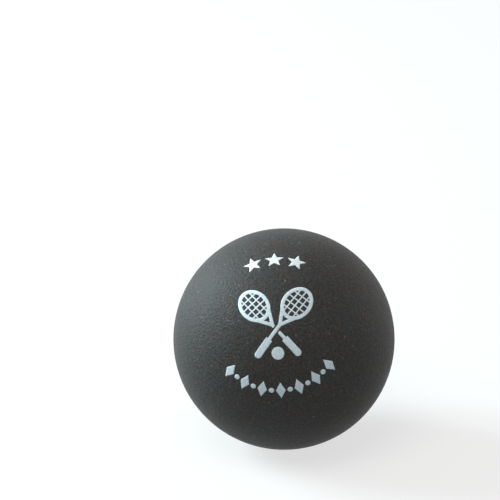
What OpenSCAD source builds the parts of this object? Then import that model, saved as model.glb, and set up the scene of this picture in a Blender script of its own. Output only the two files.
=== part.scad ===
// Squash ball: two moulded rubber half shells, bonded at their rims round a sealed
// air chamber, with a pale stamp on the front and two grade dots on the back.
// Millimetres. The origin is the centre of the ball, +Z is up and the front looks
// along -Y. The moulding axis runs through both poles of the ball and rises at the
// front, so the stamp, which is centred on it, looks forwards and up.

/* [Ball] */
// Outer diameter of the finished ball
ball_d = 40; // [34:0.5:48]
// Thickness of the rubber wall, the same all round
wall_t = 5; // [3:0.25:7]
// Rise of the moulding axis above the horizontal, as the ball lies
axis_rise_angle = 31.1; // [0:0.1:60]

/* [Seam] */
// Thickness of the cured cement between the two buffed rims
bond_t = 0.2; // [0.1:0.05:0.5]
// Depth of the cement's edge below the buffed surface
bond_recess = 0.05; // [0.02:0.01:0.15]
// Radius of the bead of cement that is squeezed out into the air chamber
bond_bead_r = 0.6; // [0.4:0.05:1]

/* [Stamp] */
// Thickness of the stamped ink film
ink_t = 0.04; // [0.02:0.01:0.1]
// Turn of the front stamp about the moulding axis, anticlockwise
stamp_turn_angle = 3.5; // [-30:0.5:30]

/* [Stars] */
// Number of stars in the upper arc
star_count = 3; // [1:1:5]
// Radius of the circle through a star's points
star_r = 1.8; // [1.2:0.05:2]
// Angle from the moulding axis to the centres of the stars
star_polar_angle = 36; // [33:0.5:42]
// Angle from one star to the next, round the moulding axis
star_step_angle = 19; // [18:0.5:26]

/* [Emblem] */
// Length of a racket, from the end of its grip to the top of its head
racket_l = 15; // [13:0.25:16]
// Length of a racket's head
head_l = 6.4; // [5:0.1:7]
// Width of a racket's head
head_w = 5.2; // [4:0.1:5.6]
// Width of the line that draws the frame
frame_line_w = 0.65; // [0.4:0.05:0.9]
// Width of the line that draws a string
string_line_w = 0.24; // [0.15:0.01:0.35]
// Number of strings that run along the head
long_strings = 3; // [1:1:5]
// Number of strings that run across the head
cross_strings = 4; // [1:1:6]
// Length of the open throat below the head
throat_l = 1.6; // [1.2:0.1:2]
// Width of the shaft, and of the throat's two arms
shaft_w = 0.6; // [0.4:0.05:0.8]
// Length of the grip
grip_l = 3.9; // [3:0.1:4.2]
// Width of the grip
grip_w = 1.25; // [0.9:0.05:1.5]
// Lean of each racket from the upright
racket_lean_angle = 40; // [36:1:50]
// Gap in the lower racket where the upper one passes over it
cross_gap = 0.3; // [0.2:0.05:0.5]
// Diameter of the small ball drawn between the grips
drawn_ball_d = 2.2; // [1.4:0.1:2.8]

/* [Border] */
// Number of lozenges in the lower arc
lozenge_count = 7; // [2:1:9]
// Length of a lozenge, towards the moulding axis
lozenge_l = 3.1; // [2:0.1:4]
// Width of a lozenge
lozenge_w = 1.7; // [1:0.1:1.9]
// Diameter of the round pip between two lozenges
pip_d = 0.95; // [0.5:0.05:1.2]
// Angle from the moulding axis to the centres of the lozenges
border_polar_angle = 34.8; // [33:0.2:42]
// Angle from one lozenge to the next, round the moulding axis
border_step_angle = 16.5; // [16:0.5:20]

/* [Grade dots] */
// Diameter of a grade dot
dot_d = 4.6; // [3:0.1:6]
// Distance between the centres of the two dots, over the surface
dot_spacing = 7; // [6.5:0.1:12]

/* [Hidden] */
$fn = 180;

// Overrun of every cut past the surface that it cuts
overrun = 1;

ball_r = ball_d / 2;
chamber_r = ball_r - wall_t;
cut_side = 2 * (ball_r + overrun);

// A racket is drawn upright, and the origin is where the two shafts cross
cross_share = 0.4;
grip_end_y = -racket_l * cross_share;
head_top_y = grip_end_y + racket_l;
head_y = head_top_y - head_l / 2;
throat_y = head_top_y - head_l - throat_l;

// The throat's arms leave the frame at this angle from the foot of the head
throat_angle = 38;

// The grips' ends and the heads' tops stand equally far from the stamp's centre
emblem_y = (-grip_end_y - head_top_y) * cos(racket_lean_angle) / 2;
drawn_ball_y = (grip_end_y + grip_w / 2) * cos(racket_lean_angle);

oval_sides = 48;
star_points = 5;
// Radius of a star's inner corners, as a share of its points' radius
star_inner_share = 0.42;

dot_angle = dot_spacing / 2 / ball_r * 180 / PI;
rear_pole = 180;

// Turns the moulding axis from +Z to where it points as the ball lies
module as_it_lies() {
    rotate([90 - axis_rise_angle, 0, 0]) children();
}

// Carries a mark drawn round +Z out to an angle from the pole, then round the pole
module out_from_pole(polar, turn) {
    rotate([0, 0, turn]) rotate([-polar, 0, 0]) children();
}

// The ink film that a flat outline leaves when it is pressed on the ball along +Z
module stamped(polar = 0, turn = 0) {
    intersection() {
        difference() {
            sphere(r = ball_r + ink_t);
            sphere(r = ball_r);
        }
        out_from_pole(polar, turn) linear_extrude(ball_r + ink_t + overrun) children();
    }
}

// Half of the hollow ball, on the +Z side of the seam
module half_shell() {
    difference() {
        sphere(r = ball_r);
        sphere(r = chamber_r);
        translate([-cut_side / 2, -cut_side / 2, bond_t / 2 - cut_side])
            cube(cut_side);
    }
}

module half_shell_front() {
    color([0.19, 0.2, 0.2]) as_it_lies() half_shell();
}

module half_shell_rear() {
    color([0.16, 0.17, 0.17]) as_it_lies() mirror([0, 0, 1]) half_shell();
}

// The cement fills the gap between the rims and stands in the chamber as a bead
module seam_bond() {
    color([0.1, 0.09, 0.08]) as_it_lies() rotate_extrude() {
        intersection() {
            circle(r = ball_r - bond_recess);
            translate([chamber_r - bond_bead_r / 2, -bond_t / 2])
                square([wall_t + bond_bead_r, bond_t]);
        }
        intersection() {
            circle(r = chamber_r);
            translate([chamber_r, 0]) circle(r = bond_bead_r);
        }
    }
}

module star() {
    half_turn = 180 / star_points;
    polygon([
        for (i = [0 : 2 * star_points - 1])
            let (r = i % 2 == 0 ? star_r : star_r * star_inner_share)
            [r * sin(i * half_turn), r * cos(i * half_turn)]
    ]);
}

module print_stars() {
    color([0.93, 0.95, 0.96]) as_it_lies()
        for (i = [0 : star_count - 1])
            stamped(star_polar_angle, stamp_turn_angle + star_step_angle * (i - (star_count - 1) / 2))
                star();
}

module oval(w, l) {
    polygon([
        for (i = [0 : oval_sides - 1])
            [w / 2 * cos(i * 360 / oval_sides), l / 2 * sin(i * 360 / oval_sides)]
    ]);
}

// A straight line of the given width from one point to another
module stroke(from, to, w) {
    run = to - from;
    translate(from) rotate(atan2(run.y, run.x))
        translate([0, -w / 2]) square([norm(run), w]);
}

// Places of count lines that divide a length about zero into equal gaps
function even_places(count, length) =
    [for (i = [1 : count]) length * (i / (count + 1) - 1 / 2)];

module racket_head() {
    difference() {
        oval(head_w, head_l);
        oval(head_w - 2 * frame_line_w, head_l - 2 * frame_line_w);
    }
    intersection() {
        oval(head_w - frame_line_w, head_l - frame_line_w);
        union() {
            for (x = even_places(long_strings, head_w - 2 * frame_line_w))
                stroke([x, -head_l / 2], [x, head_l / 2], string_line_w);
            for (y = even_places(cross_strings, head_l - 2 * frame_line_w))
                stroke([-head_w / 2, y], [head_w / 2, y], string_line_w);
        }
    }
}

module racket() {
    arm_x = (head_w - frame_line_w) / 2 * sin(throat_angle);
    arm_y = head_y - (head_l - frame_line_w) / 2 * cos(throat_angle);
    translate([0, head_y]) racket_head();
    for (side = [-1, 1])
        stroke([side * arm_x, arm_y], [0, throat_y], shaft_w);
    translate([0, throat_y]) circle(d = shaft_w);
    stroke([0, grip_end_y + grip_l / 2], [0, throat_y], shaft_w);
    stroke([0, grip_end_y + grip_w / 2], [0, grip_end_y + grip_l], grip_w);
    translate([0, grip_end_y + grip_w / 2]) circle(d = grip_w);
}

// The upper racket leans right, and a strip beside its shaft is left bare
module crossed_rackets() {
    rotate(-racket_lean_angle) racket();
    difference() {
        rotate(racket_lean_angle) racket();
        rotate(-racket_lean_angle)
            stroke([0, grip_end_y], [0, throat_y], shaft_w + 2 * cross_gap);
    }
}

module print_emblem() {
    color([0.8, 0.86, 0.9]) as_it_lies()
        stamped(turn = stamp_turn_angle) translate([0, emblem_y]) {
            crossed_rackets();
            translate([0, drawn_ball_y]) circle(d = drawn_ball_d);
        }
}

module lozenge() {
    polygon([
        [0, lozenge_l / 2], [lozenge_w / 2, 0],
        [0, -lozenge_l / 2], [-lozenge_w / 2, 0]
    ]);
}

// Angle of place number i of the lower arc, which is centred below the emblem
function border_turn(i) =
    180 + stamp_turn_angle + border_step_angle * (i - (lozenge_count - 1) / 2);

module print_lozenges() {
    color([0.78, 0.85, 0.88]) as_it_lies()
        for (i = [0 : lozenge_count - 1])
            stamped(border_polar_angle, border_turn(i)) lozenge();
}

module print_pips() {
    color([0.78, 0.85, 0.88]) as_it_lies()
        for (i = [0 : lozenge_count - 2])
            stamped(border_polar_angle, border_turn(i + 0.5)) circle(d = pip_d);
}

module grade_dot_upper() {
    color([0.95, 0.76, 0.05]) as_it_lies()
        stamped(rear_pole - dot_angle) circle(d = dot_d);
}

module grade_dot_lower() {
    color([0.95, 0.76, 0.05]) as_it_lies()
        stamped(rear_pole + dot_angle) circle(d = dot_d);
}

half_shell_front();
half_shell_rear();
seam_bond();
print_stars();
print_emblem();
print_lozenges();
print_pips();
grade_dot_upper();
grade_dot_lower();
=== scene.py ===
# %% [markdown]
# A squash ball is two thick rubber cups, cemented rim to rim, and it is matt all over.
# A pale stamp sits over one pole, and two yellow dots sit over the other.
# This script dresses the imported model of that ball. It measures the model, makes each
# visible piece as a mesh, gives each finish a procedural material, and then sets up a
# plain white studio with a camera. Lengths are metres, and the ball's centre is the origin.

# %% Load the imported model
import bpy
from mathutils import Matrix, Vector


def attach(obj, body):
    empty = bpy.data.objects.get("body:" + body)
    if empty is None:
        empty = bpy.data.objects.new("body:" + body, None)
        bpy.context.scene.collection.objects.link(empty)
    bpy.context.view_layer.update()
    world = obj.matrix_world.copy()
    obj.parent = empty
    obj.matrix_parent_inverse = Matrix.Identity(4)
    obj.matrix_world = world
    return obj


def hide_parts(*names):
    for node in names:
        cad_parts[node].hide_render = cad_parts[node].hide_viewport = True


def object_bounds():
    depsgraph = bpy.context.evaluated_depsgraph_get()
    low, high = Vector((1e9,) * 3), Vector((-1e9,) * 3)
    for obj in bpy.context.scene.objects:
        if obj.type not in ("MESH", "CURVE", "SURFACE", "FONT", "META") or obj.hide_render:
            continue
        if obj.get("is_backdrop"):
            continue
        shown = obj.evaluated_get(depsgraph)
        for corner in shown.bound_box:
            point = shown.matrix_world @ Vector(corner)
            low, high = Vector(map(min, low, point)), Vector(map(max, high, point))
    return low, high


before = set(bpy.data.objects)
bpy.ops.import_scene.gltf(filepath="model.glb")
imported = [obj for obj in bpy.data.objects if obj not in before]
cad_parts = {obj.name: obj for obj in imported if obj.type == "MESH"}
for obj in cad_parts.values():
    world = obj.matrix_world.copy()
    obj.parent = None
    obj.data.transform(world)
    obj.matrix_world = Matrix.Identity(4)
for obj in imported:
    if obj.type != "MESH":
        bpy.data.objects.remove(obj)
cad_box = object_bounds()
print("box of the packed model:", *cad_box)

# %% [markdown]
# Besides Blender's own modules, numpy handles long rows of points and mathutils handles
# directions. A ball is drawn in millimetres and Blender counts in metres, so a
# millimetre gets a name, and the ball's sizes are written with it.

# %% Bring in what the cells share
import math

import bmesh
import bpy
import numpy as np
from mathutils import Matrix, Vector

MM = 0.001
print("nodes:", ", ".join(sorted(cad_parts)))

# %% [markdown]
# The sizes that the rest is built on are read from the model, so that nothing has to be
# fitted later. Every point of a half shell lies on its outer sphere, its inner sphere or
# its rim, so its farthest and nearest points give the two radii. The ring of cement in
# the seam is flat, so the direction in which it spreads least is the moulding axis.

# %% Measure the ball
def points_of(node):
    """The corners of a node's mesh, one row each."""
    return np.array([v.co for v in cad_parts[node].data.vertices])


shell_points = points_of("half_shell_front")
ring_points = points_of("seam_bond")
stamp_points = points_of("print_emblem")
reaches = np.linalg.norm(shell_points, axis=1)

spread = np.linalg.svd(ring_points - ring_points.mean(axis=0), full_matrices=False)[2]
mould_axis = spread[2] * np.sign(spread[2] @ stamp_points.mean(axis=0))

BALL_RADIUS = round(float(reaches.max()), 6)
CHAMBER_RADIUS = round(float(reaches.min()), 6)
SEAM_HALF = round(float((shell_points @ mould_axis).min()), 6)
INK_THICKNESS = float(np.linalg.norm(stamp_points, axis=1).max()) - BALL_RADIUS
AXIS_RISE = math.atan2(mould_axis[2], -mould_axis[1])
UPRIGHT_TO_FRONT = (math.pi / 2 - AXIS_RISE, 0, 0)
UPRIGHT_TO_REAR = (math.pi / 2 - AXIS_RISE + math.pi, 0, 0)
print(f"ball {BALL_RADIUS / MM:.3f} mm, chamber {CHAMBER_RADIUS / MM:.3f} mm in radius")
print(f"seam gap {2 * SEAM_HALF / MM:.3f} mm, ink {INK_THICKNESS / MM:.3f} mm")
print(f"the moulding axis rises {math.degrees(AXIS_RISE):.2f} degrees at the front")

# %% [markdown]
# Node trees are written by hand below, for shapes and for finishes. Long rows of calls
# that only add and link nodes hide what a tree does, so short helpers add a node, fill
# its sockets and give back what the next node needs.

# %% Helpers for node trees
def add_node(tree, kind, inputs=None, **settings):
    """Adds a node. A value in inputs is a number, or a socket to link from."""
    node = tree.nodes.new(kind)
    for name, value in settings.items():
        setattr(node, name, value)
    for key, value in (inputs or {}).items():
        if isinstance(value, bpy.types.NodeSocket):
            tree.links.new(value, node.inputs[key])
        else:
            node.inputs[key].default_value = value
    return node


def number(tree, operation, *values):
    """One step of arithmetic on numbers."""
    inputs = dict(enumerate(values))
    return add_node(tree, "ShaderNodeMath", inputs, operation=operation).outputs[0]


def vector(tree, operation, *values):
    """One step of arithmetic on vectors."""
    inputs = dict(enumerate(values))
    return add_node(tree, "ShaderNodeVectorMath", inputs, operation=operation).outputs[0]


def length(tree, value):
    """The length of a vector."""
    return add_node(tree, "ShaderNodeVectorMath", {0: value}, operation="LENGTH").outputs[1]


def scaled(tree, value, factor):
    """A vector times a number."""
    inputs = {0: value, 3: factor}
    return add_node(tree, "ShaderNodeVectorMath", inputs, operation="SCALE").outputs[0]


def dot(tree, first, second):
    """The dot product of two vectors."""
    inputs = {0: first, 1: second}
    return add_node(tree, "ShaderNodeVectorMath", inputs, operation="DOT_PRODUCT").outputs[1]


def smooth_step(tree, value, low, high):
    """0 below low, 1 above high, and a soft rise between them."""
    inputs = {"Value": value, "From Min": low, "From Max": high}
    node = add_node(tree, "ShaderNodeMapRange", inputs, interpolation_type="SMOOTHSTEP")
    return node.outputs["Result"]


def noise(tree, place, scale, seed, detail=2.0, roughness=0.5):
    """Soft noise from 0 to 1. Another seed gives another pattern of the same size."""
    inputs = {"Vector": place, "W": seed, "Scale": scale, "Detail": detail, "Roughness": roughness}
    return add_node(tree, "ShaderNodeTexNoise", inputs, noise_dimensions="4D")


# %% [markdown]
# A geometry tree starts from named inputs, so its sizes can be seen and changed in one
# place. Growing a piece runs its tree once and keeps the result as a plain mesh.

# %% New trees, and pieces grown from them
def position(tree):
    """The place of each point of a mesh."""
    return add_node(tree, "GeometryNodeInputPosition").outputs[0]


def new_tree(name, sockets, result="Geometry"):
    """A geometry tree with named inputs. Returns the tree, its inputs and its output node."""
    tree = bpy.data.node_groups.new(name, "GeometryNodeTree")
    for label, (kind, default) in sockets.items():
        socket = tree.interface.new_socket(label, in_out="INPUT", socket_type=kind)
        if default is not None:
            socket.default_value = default
    kind = "NodeSocketGeometry" if result == "Geometry" else "NodeSocketFloat"
    tree.interface.new_socket(result, in_out="OUTPUT", socket_type=kind)
    start = tree.nodes.new("NodeGroupInput")
    return tree, start.outputs, tree.nodes.new("NodeGroupOutput")


def grow(name, tree, values, start=None):
    """Runs a tree on a start mesh, and leaves the result as a plain mesh in a new object."""
    piece = bpy.data.objects.new(name, start or bpy.data.meshes.new(name))
    bpy.context.scene.collection.objects.link(piece)
    modifier = piece.modifiers.new("form", "NODES")
    modifier.node_group = tree
    for socket in tree.interface.items_tree:
        if socket.name in values:
            modifier[socket.identifier] = values[socket.name]
    evaluated = piece.evaluated_get(bpy.context.evaluated_depsgraph_get())
    mesh = bpy.data.meshes.new_from_object(evaluated)
    piece.modifiers.clear()
    piece.data = mesh
    print(f"{name}: {len(mesh.vertices)} points, {len(mesh.polygons)} faces")
    return piece


# %% [markdown]
# The skin of the real ball isn't a perfect sphere. The mould leaves it faintly uneven, and
# the last buffing takes a little more off beside the seam. The same unevenness has to
# reach the ink, which lies on the rubber, so it is a small tree of its own that gives how
# far the skin lies below the true sphere at any place. Both larger trees call it.

# %% The unevenness of the skin
RELIEF_DEPTH = 0.014 * MM
RELIEF_SIZE = 1.3 * MM
BUFF_DEPTH = 0.02 * MM
BUFF_WIDTH = 1.4 * MM
RELIEF_SEED = 3.0

relief_tree, relief_in, relief_out = new_tree("skin_relief", {
    "Place": ("NodeSocketVector", None),
    "Depth": ("NodeSocketFloat", RELIEF_DEPTH),
    "Size": ("NodeSocketFloat", RELIEF_SIZE),
    "Buffed depth": ("NodeSocketFloat", BUFF_DEPTH),
    "Buffed width": ("NodeSocketFloat", BUFF_WIDTH),
    "Axis": ("NodeSocketVector", tuple(mould_axis)),
    "Seed": ("NodeSocketFloat", RELIEF_SEED),
}, result="Fall")


def build_skin_relief(tree, given, result):
    """Soft noise all over, and a shallow band that follows the seam."""
    cycles = number(tree, "DIVIDE", 1.0, given["Size"])
    bumps = noise(tree, given["Place"], cycles, given["Seed"]).outputs["Fac"]
    uneven = number(tree, "MULTIPLY", bumps, given["Depth"])
    height = number(tree, "ABSOLUTE", dot(tree, given["Place"], given["Axis"]))
    away = smooth_step(tree, height, 0.0, given["Buffed width"])
    band = number(tree, "MULTIPLY", number(tree, "SUBTRACT", 1.0, away), given["Buffed depth"])
    tree.links.new(number(tree, "ADD", uneven, band), result.inputs["Fall"])


build_skin_relief(relief_tree, relief_in, relief_out)


def skin_fall(tree, place):
    """How far the skin lies below the true sphere at a place."""
    group = add_node(tree, "GeometryNodeGroup", node_tree=relief_tree)
    tree.links.new(place, group.inputs["Place"])
    return group.outputs["Fall"]


print(f"{relief_tree.name}: at most {(RELIEF_DEPTH + BUFF_DEPTH) / MM:.3f} mm below the sphere")

# %% [markdown]
# A half shell is a cup: an outer sphere, an inner sphere and a flat buffed rim between.
# A sphere from the menu has a pinched pole right under the stamp, where grain and
# highlights would show it. Here a square grid is eased into a disc and the disc is bent
# into a hemisphere, which has no pole and nearly even squares. Its shape is a rule, so
# Geometry Nodes build it, and the same bend serves the outer cap and the inner one.

# %% Bend a cap for the half shell
CELLS_ACROSS = 196
NEAR_ZERO = 1e-6

shell_tree, shell_in, shell_out = new_tree("half_shell", {
    "Outer radius": ("NodeSocketFloat", BALL_RADIUS),
    "Inner radius": ("NodeSocketFloat", CHAMBER_RADIUS),
    "Half gap": ("NodeSocketFloat", SEAM_HALF),
    "Cells across": ("NodeSocketInt", CELLS_ACROSS),
    "Turn": ("NodeSocketVector", None),
    "Finish": ("NodeSocketMaterial", None),
})


def bent_cap(tree, grid, radius, half_gap):
    """Bends a square grid from -1 to 1 into a cap that ends half a gap above the seam."""
    spot = position(tree)
    parts = add_node(tree, "ShaderNodeSeparateXYZ", {0: spot}).outputs
    # x times the root of 1 - y * y / 2, and y in the same way, makes the square a disc.
    eased = []
    for own, other in ((parts[0], parts[1]), (parts[1], parts[0])):
        squared = number(tree, "MULTIPLY", other, other)
        room = number(tree, "SQRT", number(tree, "MULTIPLY_ADD", squared, -0.5, 1.0))
        eased.append(number(tree, "MULTIPLY", own, room))
    in_disc = add_node(tree, "ShaderNodeCombineXYZ", {0: eased[0], 1: eased[1]}).outputs[0]
    reach = number(tree, "MAXIMUM", length(tree, in_disc), NEAR_ZERO)
    rim_angle = number(tree, "ARCCOSINE", number(tree, "DIVIDE", half_gap, radius))
    angle = number(tree, "MULTIPLY", reach, rim_angle)
    outwards = number(tree, "MULTIPLY", number(tree, "SINE", angle), radius)
    flat = scaled(tree, in_disc, number(tree, "DIVIDE", outwards, reach))
    rise = number(tree, "MULTIPLY", number(tree, "COSINE", angle), radius)
    up = add_node(tree, "ShaderNodeCombineXYZ", {2: rise}).outputs[0]
    inputs = {"Geometry": grid, "Position": vector(tree, "ADD", flat, up)}
    return add_node(tree, "GeometryNodeSetPosition", inputs).outputs[0]


print(f"cap: {CELLS_ACROSS} cells across")

# %% [markdown]
# The rim is drawn out of the outer cap's edge and set on the inner cap's edge, so that
# the two weld into one wall. The unevenness comes last and only on the skin, so the
# chamber keeps its true size.

# %% Close the caps into a cup
SHELL_WELD = 0.001 * MM
SKIN_SHARE = 0.9999


def build_half_shell(tree, given, result):
    """Two caps and a rim, joined into one closed wall, then laid as the ball lies."""
    lines = number(tree, "ADD", given["Cells across"], 1)
    inputs = {"Size X": 2.0, "Size Y": 2.0, "Vertices X": lines, "Vertices Y": lines}
    grid = add_node(tree, "GeometryNodeMeshGrid", inputs).outputs["Mesh"]
    outer = bent_cap(tree, grid, given["Outer radius"], given["Half gap"])
    inner = bent_cap(tree, grid, given["Inner radius"], given["Half gap"])
    inner = add_node(tree, "GeometryNodeFlipFaces", {"Mesh": inner}).outputs[0]

    neighbours = add_node(tree, "GeometryNodeInputMeshEdgeNeighbors").outputs[0]
    at_rim = number(tree, "LESS_THAN", neighbours, 2)
    inputs = {"Mesh": outer, "Selection": at_rim, "Offset Scale": 0.0}
    rimmed = add_node(tree, "GeometryNodeExtrudeMesh", inputs, mode="EDGES").outputs
    spot = position(tree)
    sideways = vector(tree, "NORMALIZE", vector(tree, "MULTIPLY", spot, (1, 1, 0)))
    gap_squared = number(tree, "MULTIPLY", given["Half gap"], given["Half gap"])
    inner_squared = number(tree, "MULTIPLY", given["Inner radius"], given["Inner radius"])
    inner_reach = number(tree, "SQRT", number(tree, "SUBTRACT", inner_squared, gap_squared))
    level = add_node(tree, "ShaderNodeCombineXYZ", {2: given["Half gap"]}).outputs[0]
    inner_edge = vector(tree, "ADD", scaled(tree, sideways, inner_reach), level)
    inputs = {"Geometry": rimmed["Mesh"], "Selection": rimmed["Top"], "Position": inner_edge}
    rimmed = add_node(tree, "GeometryNodeSetPosition", inputs).outputs[0]

    joined = add_node(tree, "GeometryNodeJoinGeometry")
    tree.links.new(rimmed, joined.inputs[0])
    tree.links.new(inner, joined.inputs[0])
    inputs = {"Geometry": joined.outputs[0], "Distance": SHELL_WELD}
    closed = add_node(tree, "GeometryNodeMergeByDistance", inputs).outputs[0]
    inputs = {"Geometry": closed, "Rotation": given["Turn"]}
    lying = add_node(tree, "GeometryNodeTransform", inputs).outputs[0]

    spot = position(tree)
    skin_radius = number(tree, "MULTIPLY", given["Outer radius"], SKIN_SHARE)
    on_skin = number(tree, "GREATER_THAN", length(tree, spot), skin_radius)
    fall = number(tree, "MULTIPLY", skin_fall(tree, spot), -1.0)
    inwards = scaled(tree, vector(tree, "NORMALIZE", spot), fall)
    inputs = {"Geometry": lying, "Selection": on_skin, "Offset": inwards}
    uneven = add_node(tree, "GeometryNodeSetPosition", inputs).outputs[0]
    real = add_node(tree, "GeometryNodeRealizeInstances", {0: uneven}).outputs[0]
    inputs = {"Geometry": real, "Material": given["Finish"]}
    finished = add_node(tree, "GeometryNodeSetMaterial", inputs).outputs[0]
    tree.links.new(finished, result.inputs[0])


build_half_shell(shell_tree, shell_in, shell_out)
print(f"{shell_tree.name}: {len(shell_tree.nodes)} nodes")

# %% [markdown]
# The mould of a squash ball is etched, so the rubber comes out with a fine, even grain
# that keeps the ball matt. The ink lies on the same grain. It is a noise in Object
# coordinates, which fixes it to the ball, and a helper makes it, so that the rubber
# and every ink share one pattern. It becomes bump, being finer than any mesh worth keeping.

# %% The grain that the mould leaves
GRAIN_SIZE = 0.38 * MM
GRAIN_DEPTH = 0.15 * MM
GRAIN_SEED = 12.0


def new_finish(name, surface):
    """A material whose shader has the values in surface. Returns it, its tree and its shader."""
    material = bpy.data.materials.new(name)
    material.use_nodes = True
    tree = material.node_tree
    shader = tree.nodes["Principled BSDF"]
    for label, value in surface.items():
        shader.inputs[label].default_value = value
    print("finish:", name)
    return material, tree, shader


def on_the_ball(tree):
    """The place on the ball, in metres."""
    return add_node(tree, "ShaderNodeTexCoord").outputs["Object"]


def mould_grain(tree, place):
    """The grain, from 0 in its pits to 1 on its tops."""
    return noise(tree, place, 1 / GRAIN_SIZE, GRAIN_SEED).outputs["Fac"]


def bumped(tree, height, distance, below=None):
    """A bump of the given depth in metres, laid over another one if there is one."""
    inputs = {"Height": height, "Distance": distance, "Strength": 1.0}
    if below is not None:
        inputs["Normal"] = below
    return add_node(tree, "ShaderNodeBump", inputs).outputs[0]


def mixed(tree, factor, first, second):
    """A colour between two others. A Mix node's sockets 6 and 7 are its two colours."""
    inputs = {"Factor": factor, 6: first, 7: second}
    return add_node(tree, "ShaderNodeMix", inputs, data_type="RGBA").outputs[2]


def lightened(tree, colour, factor):
    """A colour made lighter or darker by a factor."""
    inputs = {"Value": factor, "Color": colour}
    return add_node(tree, "ShaderNodeHueSaturation", inputs).outputs[0]


print(f"grain about {GRAIN_SIZE / MM:.2f} mm across and {GRAIN_DEPTH / MM:.2f} mm deep")

# %% [markdown]
# After the two cups are bonded, the squeezed-out rubber is ground off on a belt while the
# ball turns. That leaves a band round the seam with fine lines that run along it. Noise
# that is squashed along the axis gives such lines: a Mapping node first turns
# the ball upright, so that the axis is Z and the scale along Z can be its own.

# %% The ground band at the seam
GROUND_WIDTH = 1.6 * MM
LINE_SPACING = 0.12 * MM
LINE_LENGTH = 2.5 * MM
LINE_SEED = 19.0


def ground_band(tree, place):
    """How strong the band is at a place, and the lines in it."""
    inputs = {"Vector": place, "Rotation": (AXIS_RISE - math.pi / 2, 0, 0)}
    upright = add_node(tree, "ShaderNodeMapping", inputs).outputs[0]
    height = add_node(tree, "ShaderNodeSeparateXYZ", {0: upright}).outputs[2]
    height = number(tree, "ABSOLUTE", height)
    outside = smooth_step(tree, height, GROUND_WIDTH / 2, GROUND_WIDTH)
    inside = number(tree, "SUBTRACT", 1.0, outside)
    squash = (1 / LINE_LENGTH, 1 / LINE_LENGTH, 1 / LINE_SPACING)
    squashed = vector(tree, "MULTIPLY", upright, squash)
    lines = noise(tree, squashed, 1.0, LINE_SEED, detail=1.0).outputs["Fac"]
    return inside, lines


print(f"ground band {2 * GROUND_WIDTH / MM:.1f} mm wide, lines {LINE_SPACING / MM:.2f} mm apart")

# %% [markdown]
# Black rubber isn't one black. The compound shows in slow clouds, a little browner here
# and a little greyer there. The colour is darkened in the grain's pits and lightened on
# its tops, which is painted shade in the pits, and a few specks of pale filler come to
# the surface. The gloss is kept low, as on a ground surface, and a faint sheen stands
# for the fine dust that makes a matt ball paler towards its outline.

# %% The rubber
CLOUD_SIZE = 5.0 * MM
TINT_SIZE = 1.8 * MM
SPECK_SIZE = 0.55 * MM
WARM_BLACK = (0.0212, 0.0160, 0.0132, 1)
COOL_BLACK = (0.0155, 0.0172, 0.0163, 1)
SPECK_COLOUR = (0.14, 0.145, 0.14, 1)
TINT_STEP = (0.35, 0.65)
SPECK_STEP = (0.66, 0.72)
SPECK_COVER = 0.85
CLOUD_CONTRAST = 0.8
# How far the colour is darkened in the grain's pits and lightened on its tops: painted shade in
# the pits.
PIT_SHADE_CONTRAST = 5.2
RUBBER_ROUGHNESS = 0.555
CLOUD_ROUGHNESS = 0.12
GROUND_POLISH = 0.06
GROUND_LEVELLING = 0.6
GROUND_LINE_DEPTH = GRAIN_DEPTH / 4
RUBBER_SURFACE = {
    "Specular IOR Level": 0.215,
    "Diffuse Roughness": 0.2,
    "Sheen Weight": 0.035,
    "Sheen Roughness": 1.0,
    "Sheen Tint": (0.95, 1.0, 1.0, 1),
}


def rubber(name, seed):
    """Matt black rubber with grain, painted shade in the grain's pits, clouds, specks and the
    ground band.
    """
    material, tree, shader = new_finish(name, RUBBER_SURFACE)
    place = on_the_ball(tree)
    grain = mould_grain(tree, place)
    clouds = noise(tree, place, 1 / CLOUD_SIZE, seed, detail=4.0, roughness=0.6).outputs["Fac"]
    tint = noise(tree, place, 1 / TINT_SIZE, seed + 1).outputs["Fac"]
    specks = noise(tree, place, 1 / SPECK_SIZE, seed + 2, roughness=0.7).outputs["Fac"]
    ground, lines = ground_band(tree, place)

    black = mixed(tree, smooth_step(tree, tint, *TINT_STEP), WARM_BLACK, COOL_BLACK)
    # Both noises lie evenly about a half, so this start keeps the mean tone at 1.
    even = 1 - (CLOUD_CONTRAST + PIT_SHADE_CONTRAST) / 2
    tone = number(tree, "MULTIPLY_ADD", clouds, CLOUD_CONTRAST, even)
    # The grain darkens the colour in its pits and lightens it on its tops: painted shade in the
    # pits.
    tone = number(tree, "MULTIPLY_ADD", grain, PIT_SHADE_CONTRAST, tone)
    black = lightened(tree, black, tone)
    speckled = number(tree, "MULTIPLY", smooth_step(tree, specks, *SPECK_STEP), SPECK_COVER)
    tree.links.new(mixed(tree, speckled, black, SPECK_COLOUR), shader.inputs["Base Color"])

    matt = number(tree, "MULTIPLY_ADD", clouds, CLOUD_ROUGHNESS, RUBBER_ROUGHNESS)
    worn = number(tree, "MULTIPLY", ground, GROUND_POLISH)
    tree.links.new(number(tree, "SUBTRACT", matt, worn), shader.inputs["Roughness"])

    smoothed = number(tree, "MULTIPLY_ADD", ground, -GROUND_LEVELLING, 1.0)
    left_grain = number(tree, "MULTIPLY", grain, smoothed)
    left_lines = number(tree, "MULTIPLY", lines, ground)
    normal = bumped(tree, left_grain, GRAIN_DEPTH)
    normal = bumped(tree, left_lines, GROUND_LINE_DEPTH, below=normal)
    tree.links.new(normal, shader.inputs["Normal"])
    return material


front_rubber = rubber("front_rubber", seed=11.0)
rear_rubber = rubber("rear_rubber", seed=23.0)

# %% [markdown]
# With a tree and a finish, the two cups are one call each. The rear one is the same
# cup turned over and not mirrored, because a mirror would turn its faces inside out.

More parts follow.
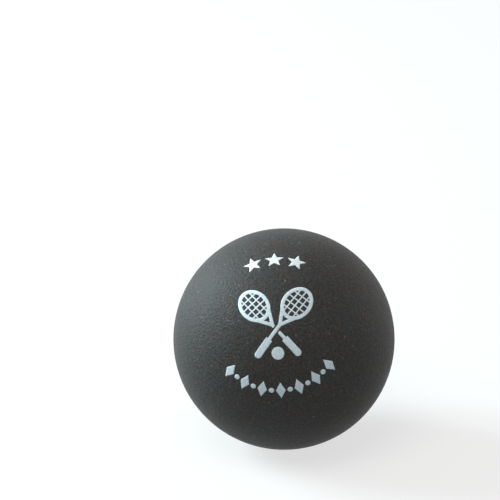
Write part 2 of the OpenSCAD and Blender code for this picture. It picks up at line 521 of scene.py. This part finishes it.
# %% Make the two half shells
def faces_outwards(piece):
    """Turns a closed wall's faces outwards, and returns the volume that it encloses."""
    wall = bmesh.new()
    wall.from_mesh(piece.data)
    bmesh.ops.recalc_face_normals(wall, faces=wall.faces)
    volume = wall.calc_volume(signed=True)
    wall.to_mesh(piece.data)
    wall.free()
    return volume


def half_shell(name, turn, finish):
    """A cup with smooth faces that point out of its wall."""
    shell = grow(name, shell_tree, {"Turn": turn, "Finish": finish})
    print(f"{name}: {faces_outwards(shell) / MM**3:.0f} mm3 of rubber")
    shell.data.shade_smooth()
    return shell


front_shell = half_shell("front_half_shell", UPRIGHT_TO_FRONT, front_rubber)
rear_shell = half_shell("rear_half_shell", UPRIGHT_TO_REAR, rear_rubber)

# %% [markdown]
# Where the cups meet, a thin line of cured cement shows, a hair below the skin. The
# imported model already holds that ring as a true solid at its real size, so it stays as
# it is and only needs its finish: cement that has dried dark, with a satin gloss.

# %% The cement in the seam
LUMP_SIZE = 1.2 * MM
LUMP_DEPTH = 0.03 * MM
LUMP_SEED = 31.0
DARK_CEMENT = (0.006, 0.0055, 0.005, 1)
PALE_CEMENT = (0.015, 0.013, 0.011, 1)
CEMENT_ROUGHNESS = 0.35
LUMP_ROUGHNESS = 0.3
CEMENT_SURFACE = {"Specular IOR Level": 0.35}


def cement():
    """Dried rubber cement: nearly black, satin, a little lumpy."""
    material, tree, shader = new_finish("seam_cement", CEMENT_SURFACE)
    place = on_the_ball(tree)
    lumps = noise(tree, place, 1 / LUMP_SIZE, LUMP_SEED, detail=3.0).outputs["Fac"]
    tree.links.new(mixed(tree, lumps, DARK_CEMENT, PALE_CEMENT), shader.inputs["Base Color"])
    satin = number(tree, "MULTIPLY_ADD", lumps, LUMP_ROUGHNESS, CEMENT_ROUGHNESS)
    tree.links.new(satin, shader.inputs["Roughness"])
    tree.links.new(bumped(tree, lumps, LUMP_DEPTH), shader.inputs["Normal"])
    return material


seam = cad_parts["seam_bond"]
seam.data.materials.clear()
seam.data.materials.append(cement())
print("the seam keeps its own solid:", seam.name)

# %% [markdown]
# Each mark of the stamp is drawn as a distance field: a function that says how far any
# point of the plane lies from the outline, less than zero inside. Fields are easy to
# join and cut, with a plain minimum or maximum, so a racket is a few short lines, and
# they give clean edges at any size without a single point typed by hand.

# %% Fields to draw with
def disc(radius, x0=0.0, y0=0.0):
    """A filled circle."""
    return lambda x, y: np.hypot(x - x0, y - y0) - radius


def outline(corners):
    """A filled polygon."""
    corners = np.asarray(corners, float)

    def field(x, y):
        nearest = np.full(x.shape, np.inf)
        inside = np.zeros(x.shape, bool)
        for (ax, ay), (bx, by) in zip(corners, np.roll(corners, -1, axis=0)):
            ex, ey = bx - ax, by - ay
            along = np.clip(((x - ax) * ex + (y - ay) * ey) / (ex * ex + ey * ey), 0, 1)
            nearest = np.minimum(nearest, np.hypot(x - ax - along * ex, y - ay - along * ey))
            if ey != 0:
                inside ^= ((ay > y) != (by > y)) & (x < ax + (y - ay) * ex / ey)
        return np.where(inside, -nearest, nearest)

    return field


def stroke(start, end, width):
    """A straight line of some width."""
    start, end = np.asarray(start, float), np.asarray(end, float)
    along = (end - start) / np.linalg.norm(end - start)
    side = np.array([-along[1], along[0]]) * width / 2
    return outline([start + side, start - side, end - side, end + side])


def either(*fields):
    """All of several shapes."""
    return lambda x, y: np.minimum.reduce([f(x, y) for f in fields])


def both(*fields):
    """Only what several shapes share."""
    return lambda x, y: np.maximum.reduce([f(x, y) for f in fields])


def without(field, hole):
    """A shape with another one cut out of it."""
    return lambda x, y: np.maximum(field(x, y), -hole(x, y))


def moved(field, dx, dy):
    """A shape moved in the plane."""
    return lambda x, y: field(x - dx, y - dy)


def turned(field, angle):
    """A shape turned anticlockwise."""
    c, s = math.cos(angle), math.sin(angle)
    return lambda x, y: field(c * x + s * y, c * y - s * x)


print("distance in the middle of a disc of radius 2:", disc(2.0)(0.0, 0.0))

# %% [markdown]
# A field becomes a mesh by keeping the squares of a fine grid whose middles lie inside,
# and then sliding the points along the edge onto the outline. The grid also gives the
# mark points in its middle, which it needs to bend over the ball. Each point keeps its
# distance from the outline, so that the ink can thin out towards its edge.

# %% From a field to a flat mark
MARK_CELL = 0.07 * MM
GRID_MARGIN = 1.2
TIDY_ROUNDS = 3
SLIDE_ROUNDS = 3
LEAST_SLOPE = 0.5


def tidy_cells(keep):
    """Drops cells that hang on by one side, and fills in where two touch at a corner."""
    for _ in range(TIDY_ROUNDS):
        ringed = np.pad(keep, 1).astype(int)
        beside = ringed[:-2, 1:-1] + ringed[2:, 1:-1] + ringed[1:-1, :-2] + ringed[1:-1, 2:]
        keep = keep & (beside >= 2)
        falling = keep[:-1, :-1] & keep[1:, 1:] & ~keep[1:, :-1] & ~keep[:-1, 1:]
        rising = keep[1:, :-1] & keep[:-1, 1:] & ~keep[:-1, :-1] & ~keep[1:, 1:]
        keep[1:, :-1] |= falling
        keep[:-1, :-1] |= rising
    return keep


def flat_mark(name, field, reach):
    """A flat mesh that fills the shape, which lies within reach of the origin."""
    count = math.ceil(reach * GRID_MARGIN / MARK_CELL)
    ticks = np.arange(-count, count + 1) * MARK_CELL
    x, y = np.meshgrid(ticks, ticks, indexing="ij")
    middle = MARK_CELL / 2
    keep = tidy_cells(field(x[:-1, :-1] + middle, y[:-1, :-1] + middle) < 0)
    i, j = np.nonzero(keep)
    here, beyond = i * len(ticks) + j, (i + 1) * len(ticks) + j
    corners = np.stack([here, beyond, beyond + 1, here + 1], axis=1)
    used, cells = np.unique(corners, return_inverse=True)
    cells = cells.reshape(-1, 4)
    px, py = x.ravel()[used], y.ravel()[used]

    # A point inside the shape is shared by four cells, and one at the edge by fewer.
    edge = np.bincount(cells.ravel(), minlength=len(used)) < 4
    nudge = MARK_CELL / 10
    for _ in range(SLIDE_ROUNDS):
        ex, ey = px[edge], py[edge]
        away = field(ex, ey)
        slope_x = (field(ex + nudge, ey) - field(ex - nudge, ey)) / (2 * nudge)
        slope_y = (field(ex, ey + nudge) - field(ex, ey - nudge)) / (2 * nudge)
        steep = np.maximum(np.hypot(slope_x, slope_y), LEAST_SLOPE)
        step = np.clip(away / steep, -MARK_CELL, MARK_CELL)
        px[edge] -= step * slope_x / steep
        py[edge] -= step * slope_y / steep

    mesh = bpy.data.meshes.new(name)
    mesh.from_pydata(np.column_stack([px, py, 0 * px]).tolist(), [], cells.tolist())
    depth = mesh.attributes.new("depth", "FLOAT", "POINT")
    depth.data.foreach_set("value", np.maximum(0, -field(px, py)).astype(np.float32))
    print(f"{name}: {len(cells)} cells")
    return mesh


# %% [markdown]
# Three stars stand above the pole, crossed rackets with a small ball are on it, and a
# border of lozenges and round pips runs below. All but the rackets are plain figures: a
# star and a lozenge need only their corners, and a pip and a grade dot only a radius.
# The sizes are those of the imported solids.

# %% Draw the plain marks
STAR_POINTS = 5
STAR_RADIUS = 1.8 * MM
STAR_INNER_SHARE = 0.42
LOZENGE_LENGTH = 3.1 * MM
LOZENGE_WIDTH = 1.7 * MM
PIP_RADIUS = 0.475 * MM
GRADE_DOT_RADIUS = 2.3 * MM


def star():
    """A star with one point up."""
    corners = []
    for i in range(2 * STAR_POINTS):
        radius = STAR_RADIUS * (1 if i % 2 == 0 else STAR_INNER_SHARE)
        angle = i * math.pi / STAR_POINTS
        corners.append((radius * math.sin(angle), radius * math.cos(angle)))
    return outline(corners)


def lozenge():
    """A lozenge that stands on its point."""
    side, tip = LOZENGE_WIDTH / 2, LOZENGE_LENGTH / 2
    return outline([(0, tip), (-side, 0), (0, -tip), (side, 0)])


star_mark = flat_mark("star", star(), STAR_RADIUS)
lozenge_mark = flat_mark("lozenge", lozenge(), LOZENGE_LENGTH / 2)
pip_mark = flat_mark("pip", disc(PIP_RADIUS), PIP_RADIUS)
dot_mark = flat_mark("grade_dot", disc(GRADE_DOT_RADIUS), GRADE_DOT_RADIUS)

# %% [markdown]
# A racket is drawn from its parts: an oval hoop with strings, two arms that meet in a
# throat, a shaft and a rounded grip. The strings are cut off halfway across the hoop's
# line, so that they always reach the hoop and never stand out past it.

# %% Draw a racket
RACKET_LENGTH = 15 * MM
CROSS_SHARE = 0.4
HEAD_LENGTH = 6.4 * MM
HEAD_WIDTH = 5.2 * MM
FRAME_LINE = 0.65 * MM
STRING_LINE = 0.24 * MM
LONG_STRINGS = 3
CROSS_STRINGS = 4
THROAT_LENGTH = 1.6 * MM
THROAT_ANGLE = math.radians(38)
SHAFT_WIDTH = 0.6 * MM
GRIP_LENGTH = 3.9 * MM
GRIP_WIDTH = 1.25 * MM
OVAL_SIDES = 48
GRIP_END = -RACKET_LENGTH * CROSS_SHARE
HEAD_TOP = GRIP_END + RACKET_LENGTH
THROAT_END = HEAD_TOP - HEAD_LENGTH - THROAT_LENGTH


def oval(width, height):
    """An upright oval."""
    around = np.linspace(0, 2 * math.pi, OVAL_SIDES, endpoint=False)
    return outline(np.column_stack([width / 2 * np.cos(around), height / 2 * np.sin(around)]))


def even_places(count, room):
    """Places that divide a width about zero into equal gaps."""
    return [room * ((i + 1) / (count + 1) - 0.5) for i in range(count)]


def racket_head():
    """The frame, and the strings inside it."""
    hoop = without(
        oval(HEAD_WIDTH, HEAD_LENGTH),
        oval(HEAD_WIDTH - 2 * FRAME_LINE, HEAD_LENGTH - 2 * FRAME_LINE),
    )
    strings = []
    for x in even_places(LONG_STRINGS, HEAD_WIDTH - 2 * FRAME_LINE):
        strings.append(stroke((x, -HEAD_LENGTH / 2), (x, HEAD_LENGTH / 2), STRING_LINE))
    for y in even_places(CROSS_STRINGS, HEAD_LENGTH - 2 * FRAME_LINE):
        strings.append(stroke((-HEAD_WIDTH / 2, y), (HEAD_WIDTH / 2, y), STRING_LINE))
    bed = oval(HEAD_WIDTH - FRAME_LINE, HEAD_LENGTH - FRAME_LINE)
    return either(hoop, both(bed, either(*strings)))


def racket():
    """An upright racket. The origin is where the other one crosses it."""
    head_middle = HEAD_TOP - HEAD_LENGTH / 2
    arm_x = (HEAD_WIDTH - FRAME_LINE) / 2 * math.sin(THROAT_ANGLE)
    arm_y = head_middle - (HEAD_LENGTH - FRAME_LINE) / 2 * math.cos(THROAT_ANGLE)
    grip_round = GRIP_END + GRIP_WIDTH / 2
    return either(
        moved(racket_head(), 0, head_middle),
        stroke((-arm_x, arm_y), (0, THROAT_END), SHAFT_WIDTH),
        stroke((arm_x, arm_y), (0, THROAT_END), SHAFT_WIDTH),
        disc(SHAFT_WIDTH / 2, 0, THROAT_END),
        stroke((0, GRIP_END + GRIP_LENGTH / 2), (0, THROAT_END), SHAFT_WIDTH),
        stroke((0, grip_round), (0, GRIP_END + GRIP_LENGTH), GRIP_WIDTH),
        disc(GRIP_WIDTH / 2, 0, grip_round),
    )


print(f"racket {RACKET_LENGTH / MM:.1f} mm long, head {HEAD_LENGTH / MM:.1f} mm")

# %% [markdown]
# One racket passes over the other, so a strip beside its shaft is left bare, as a sign
# painter would. The whole is then moved down, so that the tops of the heads and the ends
# of the grips lie equally far from the middle of the stamp.

# %% Cross the rackets
RACKET_LEAN = math.radians(40)
CROSS_GAP = 0.3 * MM
DRAWN_BALL_RADIUS = 1.1 * MM


def emblem():
    """The crossed rackets and the small ball between their grips."""
    over = turned(racket(), -RACKET_LEAN)
    bare = stroke((0, GRIP_END), (0, THROAT_END), SHAFT_WIDTH + 2 * CROSS_GAP)
    under = without(turned(racket(), RACKET_LEAN), turned(bare, -RACKET_LEAN))
    ball_y = (GRIP_END + GRIP_WIDTH / 2) * math.cos(RACKET_LEAN)
    lift = -(GRIP_END + HEAD_TOP) / 2 * math.cos(RACKET_LEAN)
    return moved(either(over, under, disc(DRAWN_BALL_RADIUS, 0, ball_y)), 0, lift)


emblem_mark = flat_mark("emblem", emblem(), HEAD_TOP)

# %% [markdown]
# The printer's soft pad presses the marks over the curve of the ball, where the ink
# follows the rubber's unevenness and thins out at its edges. The marks repeat along an
# arc and lie on a surface, so a tree lays them: it lifts a flat mark onto the ball,
# copies it round the pole, roughens its edge a little and gives the film its thickness.
# Ink shrinks as it dries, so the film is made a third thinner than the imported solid.

# %% The tree that presses ink onto the ball
EDGE_WOBBLE = 0.07 * MM
EDGE_WOBBLE_SIZE = 0.35 * MM
EDGE_ROUND = 0.13 * MM
EDGE_SEED = 5.0
INK_SINK = 0.012 * MM
DRY_SHARE = 0.65

ink_tree, ink_in, ink_out = new_tree("pressed_ink", {
    "Mark": ("NodeSocketGeometry", None),
    "Ball radius": ("NodeSocketFloat", BALL_RADIUS),
    "Film": ("NodeSocketFloat", INK_THICKNESS * DRY_SHARE),
    "Copies": ("NodeSocketInt", 1),
    "Angle from pole": ("NodeSocketFloat", 0.0),
    "First turn": ("NodeSocketFloat", 0.0),
    "Turn step": ("NodeSocketFloat", 0.0),
    "Lie": ("NodeSocketVector", UPRIGHT_TO_FRONT),
    "Wobble": ("NodeSocketFloat", EDGE_WOBBLE),
    "Wobble size": ("NodeSocketFloat", EDGE_WOBBLE_SIZE),
    "Rounded edge": ("NodeSocketFloat", EDGE_ROUND),
    "Sink": ("NodeSocketFloat", INK_SINK),
    "Seed": ("NodeSocketFloat", EDGE_SEED),
    "Finish": ("NodeSocketMaterial", None),
})


def laid_round_the_pole(tree, given):
    """Lifts the flat mark onto the ball, copies it along its arc and lays it in place."""
    spot = position(tree)
    radius_squared = number(tree, "MULTIPLY", given["Ball radius"], given["Ball radius"])
    rise = number(tree, "SQRT", number(tree, "SUBTRACT", radius_squared, dot(tree, spot, spot)))
    up = add_node(tree, "ShaderNodeCombineXYZ", {2: rise}).outputs[0]
    inputs = {"Geometry": given["Mark"], "Offset": up}
    lifted = add_node(tree, "GeometryNodeSetPosition", inputs).outputs[0]

    centres = add_node(tree, "GeometryNodePoints", {"Count": given["Copies"]}).outputs[0]
    index = add_node(tree, "GeometryNodeInputIndex").outputs[0]
    tip = number(tree, "MULTIPLY", given["Angle from pole"], -1.0)
    turn = number(tree, "MULTIPLY_ADD", index, given["Turn step"], given["First turn"])
    angles = add_node(tree, "ShaderNodeCombineXYZ", {0: tip, 2: turn}).outputs[0]
    rotation = add_node(tree, "FunctionNodeEulerToRotation", {0: angles}).outputs[0]
    inputs = {"Points": centres, "Instance": lifted, "Rotation": rotation}
    copies = add_node(tree, "GeometryNodeInstanceOnPoints", inputs).outputs[0]
    real = add_node(tree, "GeometryNodeRealizeInstances", {0: copies}).outputs[0]
    inputs = {"Geometry": real, "Rotation": given["Lie"]}
    return add_node(tree, "GeometryNodeTransform", inputs).outputs[0]


print(f"dry film {INK_THICKNESS * DRY_SHARE / MM:.3f} mm")

# %% [markdown]
# The film is the laid mark drawn out, closed by a copy of the mark as its back. Both go
# to their heights over the uneven skin: the top by the film, which thins to nothing at
# the outline, and the back a little below the skin, so that no gap shows at the edge.

# %% Give the ink its thickness
INK_WELD = 0.0002 * MM
ANY_SHARE = 0.01


def kept_number(tree, name):
    """A number that the mesh keeps under a name."""
    inputs = {"Name": name}
    return add_node(tree, "GeometryNodeInputNamedAttribute", inputs, data_type="FLOAT").outputs[0]


def at_height(tree, geometry, chosen, height):
    """Moves the chosen points along the ball's radius, to a height above the skin."""
    spot = position(tree)
    skin = number(tree, "SUBTRACT", length(tree, spot), skin_fall(tree, spot))
    place = scaled(tree, vector(tree, "NORMALIZE", spot), number(tree, "ADD", skin, height))
    inputs = {"Geometry": geometry, "Position": place}
    if chosen is not None:
        inputs["Selection"] = chosen
    return add_node(tree, "GeometryNodeSetPosition", inputs).outputs[0]


def build_pressed_ink(tree, given, result):
    """Wobbles the outline, gives the film its two faces and closes them."""
    laid = laid_round_the_pole(tree, given)
    spot = position(tree)
    cycles = number(tree, "DIVIDE", 1.0, given["Wobble size"])
    colour = noise(tree, spot, cycles, given["Seed"]).outputs["Color"]
    shift = scaled(tree, vector(tree, "SUBTRACT", colour, (0.5, 0.5, 0.5)), given["Wobble"])
    rough = vector(tree, "NORMALIZE", vector(tree, "ADD", spot, shift))
    inputs = {"Geometry": laid, "Position": scaled(tree, rough, given["Ball radius"])}
    sheet = add_node(tree, "GeometryNodeSetPosition", inputs).outputs[0]

    inputs = {"Mesh": sheet, "Offset Scale": 0.0, "Individual": False}
    raised = add_node(tree, "GeometryNodeExtrudeMesh", inputs, mode="FACES").outputs
    full = smooth_step(tree, kept_number(tree, "depth"), 0.0, given["Rounded edge"])
    film = number(tree, "MULTIPLY", full, given["Film"])
    sunk = number(tree, "MULTIPLY", given["Sink"], -1.0)
    marked = add_node(tree, "GeometryNodeStoreNamedAttribute", {
        "Geometry": raised["Mesh"], "Name": "top", "Value": raised["Top"],
    }, data_type="FLOAT", domain="FACE").outputs[0]

    # A point gets the mean of its faces, so any share of a top face puts it on the top.
    share = kept_number(tree, "top")
    lifted = at_height(tree, marked, number(tree, "GREATER_THAN", share, ANY_SHARE), film)
    lifted = at_height(tree, lifted, number(tree, "LESS_THAN", share, ANY_SHARE), sunk)
    back = add_node(tree, "GeometryNodeFlipFaces", {"Mesh": sheet}).outputs[0]
    joined = add_node(tree, "GeometryNodeJoinGeometry")
    tree.links.new(lifted, joined.inputs[0])
    tree.links.new(at_height(tree, back, None, sunk), joined.inputs[0])
    inputs = {"Geometry": joined.outputs[0], "Distance": INK_WELD}
    closed = add_node(tree, "GeometryNodeMergeByDistance", inputs).outputs[0]
    real = add_node(tree, "GeometryNodeRealizeInstances", {0: closed}).outputs[0]
    inputs = {"Geometry": real, "Material": given["Finish"]}
    finished = add_node(tree, "GeometryNodeSetMaterial", inputs).outputs[0]
    tree.links.new(finished, result.inputs[0])


build_pressed_ink(ink_tree, ink_in, ink_out)
print(f"{ink_tree.name}: {len(ink_tree.nodes)} nodes")

# %% [markdown]
# The ink is a thin matt paint. Over a dark, grained rubber it never covers quite evenly:
# it lies thinner on the tops of the grain, where the rubber darkens it, and a few
# pinholes stay bare. One function makes all the inks, from a full colour and a thin one.

# %% The inks
PATCH_SIZE = 1.1 * MM
PINHOLE_SIZE = 0.16 * MM
THIN_STEP = (0.4, 0.66)
PINHOLE_STEP = (0.7, 0.8)
PINHOLE_BARENESS = 0.8
BARE_COLOUR = (0.05, 0.052, 0.052, 1)
INK_ROUGHNESS = 0.5
GRAIN_ROUGHNESS = 0.2
INK_GRAIN_DEPTH = GRAIN_DEPTH / 2
INK_SURFACE = {"Specular IOR Level": 0.4}


def ink(name, full, thin, seed):
    """A stamped ink, from its colour where it lies thick and where it lies thin."""
    material, tree, shader = new_finish(name, INK_SURFACE)
    place = on_the_ball(tree)
    grain = mould_grain(tree, place)
    patches = noise(tree, place, 1 / PATCH_SIZE, seed, detail=3.0, roughness=0.6).outputs["Fac"]
    holes = noise(tree, place, 1 / PINHOLE_SIZE, seed + 1, detail=1.0).outputs["Fac"]
    thinning = number(tree, "MULTIPLY", number(tree, "ADD", patches, grain), 0.5)
    colour = mixed(tree, smooth_step(tree, thinning, *THIN_STEP), full, thin)
    pinholes = number(tree, "MULTIPLY", smooth_step(tree, holes, *PINHOLE_STEP), PINHOLE_BARENESS)
    tree.links.new(mixed(tree, pinholes, colour, BARE_COLOUR), shader.inputs["Base Color"])
    matt = number(tree, "MULTIPLY_ADD", grain, GRAIN_ROUGHNESS, INK_ROUGHNESS)
    tree.links.new(matt, shader.inputs["Roughness"])
    tree.links.new(bumped(tree, grain, INK_GRAIN_DEPTH), shader.inputs["Normal"])
    return material


white_ink = ink("white_ink", full=(0.7, 0.765, 0.78, 1), thin=(0.6, 0.67, 0.69, 1), seed=41.0)
silver_ink = ink("silver_ink", full=(0.65, 0.78, 0.84, 1), thin=(0.56, 0.67, 0.73, 1), seed=47.0)
yellow_ink = ink("yellow_ink", full=(0.84, 0.53, 0.012, 1), thin=(0.68, 0.4, 0.01, 1), seed=53.0)

# %% [markdown]
# The arcs are given by angles, as a stamp maker lays them out: how far from the pole
# the marks stand, and how far it is from one to the next round the pole. The turn is
# the slight twist with which the ball was fed to the stamp.

# %% Press the marks
STAMP_TURN = math.radians(3.5)
STAR_COUNT = 3
STAR_POLAR = math.radians(36)
STAR_STEP = math.radians(19)
LOZENGE_COUNT = 7
BORDER_POLAR = math.radians(34.8)
BORDER_STEP = math.radians(16.5)
GRADE_DOT_SPACING = 7 * MM
GRADE_DOT_ANGLE = GRADE_DOT_SPACING / 2 / BALL_RADIUS


def centred(count, step, middle):
    """The first turn of a row of marks whose middle is given."""
    return middle - step * (count - 1) / 2


def press(name, mark, finish, copies=1, polar=0.0, middle=0.0, step=0.0):
    """Presses copies of a mark on the ball, and turns the film's faces outwards."""
    piece = grow(name, ink_tree, {
        "Copies": copies,
        "Angle from pole": polar,
        "First turn": centred(copies, step, middle),
        "Turn step": step,
        "Finish": finish,
    }, start=mark)
    faces_outwards(piece)
    piece.data.shade_smooth()
    return piece


stars = press("stamped_stars", star_mark, white_ink, STAR_COUNT, STAR_POLAR, STAMP_TURN, STAR_STEP)
rackets = press("stamped_rackets", emblem_mark, silver_ink, middle=STAMP_TURN)
border = {"polar": BORDER_POLAR, "middle": math.pi + STAMP_TURN, "step": BORDER_STEP}
lozenges = press("stamped_lozenges", lozenge_mark, silver_ink, LOZENGE_COUNT, **border)
pips = press("stamped_pips", pip_mark, silver_ink, LOZENGE_COUNT - 1, **border)
upper_dot = press("upper_grade_dot", dot_mark, yellow_ink, polar=math.pi - GRADE_DOT_ANGLE)
lower_dot = press("lower_grade_dot", dot_mark, yellow_ink, polar=math.pi + GRADE_DOT_ANGLE)

# %% [markdown]
# Every piece rides on the ball's one body, and the imported solid that it was made after
# is hidden. The table also names the material slot of each, which nothing here reads.

# %% Tie the pieces to the model
pairs = [
    (front_shell, "half_shell_front", "rubber_front"),
    (rear_shell, "half_shell_rear", "rubber_rear"),
    (stars, "print_stars", "ink_white"),
    (rackets, "print_emblem", "ink_silver"),
    (lozenges, "print_lozenges", "ink_silver"),
    (pips, "print_pips", "ink_silver"),
    (upper_dot, "grade_dot_upper", "ink_yellow"),
    (lower_dot, "grade_dot_lower", "ink_yellow"),
]
for piece, node, slot in pairs:
    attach(piece, "root")
    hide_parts(node)
    print(f"{piece.name} stands for {node}")

# %% [markdown]
# The floor is plain and looks white, and it is a real surface, so that it keeps the
# ball's shadow. Its own colour is a mid grey, so that it throws little light up onto the
# ball's dark underside. Its glow, which only the camera and reflections see, lifts it
# to white without lighting the ball.

# %% The floor
WHITE = (1, 1, 1, 1)
FLOOR_RADIUS = 3.0
FLOOR_SIDES = 96
FLOOR_GLOW = 0.68
FLOOR_SURFACE = {
    "Base Color": (0.22, 0.22, 0.22, 1),
    "Roughness": 0.9,
    "Specular IOR Level": 0.1,
    "Emission Color": WHITE,
}


def seen_directly(tree):
    """1 for rays from the camera and for those that a surface reflects or lets through."""
    path = add_node(tree, "ShaderNodeLightPath").outputs
    seen = number(tree, "MAXIMUM", path["Is Camera Ray"], path["Is Glossy Ray"])
    return number(tree, "MAXIMUM", seen, path["Is Transmission Ray"])


def pale_floor():
    """A matt grey board that glows up to white where it is seen."""
    material, tree, shader = new_finish("pale_floor", FLOOR_SURFACE)
    glow = number(tree, "MULTIPLY", seen_directly(tree), FLOOR_GLOW)
    tree.links.new(glow, shader.inputs["Emission Strength"])
    return material


def make_floor():
    """A round board that touches the ball from below."""
    board = bmesh.new()
    bmesh.ops.create_circle(board, cap_ends=True, segments=FLOOR_SIDES, radius=FLOOR_RADIUS)
    bmesh.ops.translate(board, verts=board.verts, vec=(0, 0, cad_box[0].z))
    mesh = bpy.data.meshes.new("floor")
    board.to_mesh(mesh)
    board.free()
    mesh.materials.append(pale_floor())
    floor = bpy.data.objects.new("floor", mesh)
    bpy.context.scene.collection.objects.link(floor)
    print(f"floor {2 * FLOOR_RADIUS:.0f} m across")
    return floor


make_floor()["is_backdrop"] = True

# %% [markdown]
# The world behind the floor works in the same way: it is white to the camera and to
# reflections, and a much weaker, even light to the ball, so that the lamps shape it.

# %% The world
WORLD_LIGHT = 0.33


def light_world():
    """White where it is seen, and only a soft even light on the ball."""
    world = bpy.data.worlds.new("studio")
    world.use_nodes = True
    tree = world.node_tree
    tree.nodes.clear()
    even = add_node(tree, "ShaderNodeBackground", {"Color": WHITE, "Strength": WORLD_LIGHT})
    white = add_node(tree, "ShaderNodeBackground", {"Color": WHITE, "Strength": 1.0})
    choice = {0: seen_directly(tree), 1: even.outputs[0], 2: white.outputs[0]}
    mix = add_node(tree, "ShaderNodeMixShader", choice)
    add_node(tree, "ShaderNodeOutputWorld", {"Surface": mix.outputs[0]})
    bpy.context.scene.world = world
    print(f"world: {WORLD_LIGHT} on the ball, 1 where it is seen")


light_world()

# %% [markdown]
# The camera stands where the photograph's did. A ball's outline tells how far away it
# is: its radius in the picture and the lens give the distance. The direction comes from
# the rings on which the stamp's marks lie in the picture. The ball isn't in the
# middle of the frame, so the camera aims beside it instead of shifting the lens.

# %% The camera
PICTURE_SIZE = 500
BALL_CENTRE_PX = (283.97, 338.91)
BALL_RADIUS_PX = 110.68
CAMERA_AZIMUTH = math.radians(4.28)
CAMERA_RISE = math.radians(23)
CAMERA_ROLL = math.radians(1.6)
LENS = 200.0
SENSOR = 36.0
NEAREST = 0.01
FARTHEST = 50


def make_camera():
    """A long lens that frames the ball as the picture does."""
    data = bpy.data.cameras.new("camera")
    data.lens = LENS
    data.sensor_width = SENSOR
    data.clip_start = NEAREST
    data.clip_end = FARTHEST
    lens_px = LENS / SENSOR * PICTURE_SIZE
    distance = BALL_RADIUS / math.sin(math.atan(BALL_RADIUS_PX / lens_px))
    away = Vector((
        math.sin(CAMERA_AZIMUTH) * math.cos(CAMERA_RISE),
        -math.cos(CAMERA_AZIMUTH) * math.cos(CAMERA_RISE),
        math.sin(CAMERA_RISE),
    ))
    level = Vector((math.cos(CAMERA_AZIMUTH), math.sin(CAMERA_AZIMUTH), 0))
    upright = away.cross(level)
    right = level * math.cos(CAMERA_ROLL) - upright * math.sin(CAMERA_ROLL)
    up = level * math.sin(CAMERA_ROLL) + upright * math.cos(CAMERA_ROLL)
    facing = Matrix((right, up, away)).transposed()
    half = PICTURE_SIZE / 2
    towards_ball = Vector((
        (BALL_CENTRE_PX[0] - half) / lens_px, (half - BALL_CENTRE_PX[1]) / lens_px, -1,
    )).normalized()
    aside = towards_ball.rotation_difference(Vector((0, 0, -1))).to_matrix()
    camera = bpy.data.objects.new("camera", data)
    camera.matrix_world = Matrix.Translation(away * distance) @ (facing @ aside).to_4x4()
    bpy.context.scene.collection.objects.link(camera)
    bpy.context.scene.camera = camera
    print(f"camera {distance:.3f} m from the ball, {LENS:.0f} mm lens")
    return right, up, away


right, up, away = make_camera()

# %% [markdown]
# Black rubber shows its form by what it reflects, so the lamps are large and soft. The
# main one stands beside the ball, on the left and above, and lays a broad, slightly
# blue sheen down its upper left. A weaker one above the camera lights the stamp, and
# the weakest, behind on the right, keeps that edge from sinking into black.

# %% The lamps
def softbox(name, direction, distance, size, power, colour=(1, 1, 1)):
    """A square lamp that looks at the ball from a direction."""
    data = bpy.data.lights.new(name, "AREA")
    data.shape = "SQUARE"
    data.size = size
    data.energy = power
    data.color = colour
    lamp = bpy.data.objects.new(name, data)
    place = direction.normalized() * distance
    lamp.rotation_mode = "QUATERNION"
    lamp.location = place
    lamp.rotation_quaternion = (-place).to_track_quat("-Z", "Y")
    bpy.context.scene.collection.objects.link(lamp)
    print(f"{name}: {size} m wide, {distance} m away, {power} W")


main_way = -0.84 * right + 0.54 * up - 0.12 * away
front_way = -0.2 * right + 0.62 * up + 0.68 * away
rim_way = 0.9 * right + 0.25 * up - 0.5 * away
softbox("main_lamp", main_way, distance=0.7, size=0.36, power=9.2, colour=(0.82, 1.0, 1.06))
softbox("front_lamp", front_way, distance=0.8, size=0.5, power=3.2, colour=(1.0, 0.97, 0.93))
softbox("rim_lamp", rim_way, distance=0.8, size=0.4, power=0.8)

# %% [markdown]
# Blender's own tone curve greys the whites and softens the darks. A plain one is chosen,
# so that a colour comes out of a level light about as it was written.

# %% Leave the picture's tones as they are
bpy.context.scene.view_settings.view_transform = "Standard"
print("view transform:", bpy.context.scene.view_settings.view_transform)

# %% [markdown]
# Last, the outer size of what was made is printed, to set beside the box of the
# imported model printed at the start.

# %% Print the outer size
visual_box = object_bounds()
sizes = [high - low for low, high in zip(*visual_box)]
print("outer size in mm:", ", ".join(f"{size / MM:.2f}" for size in sizes))
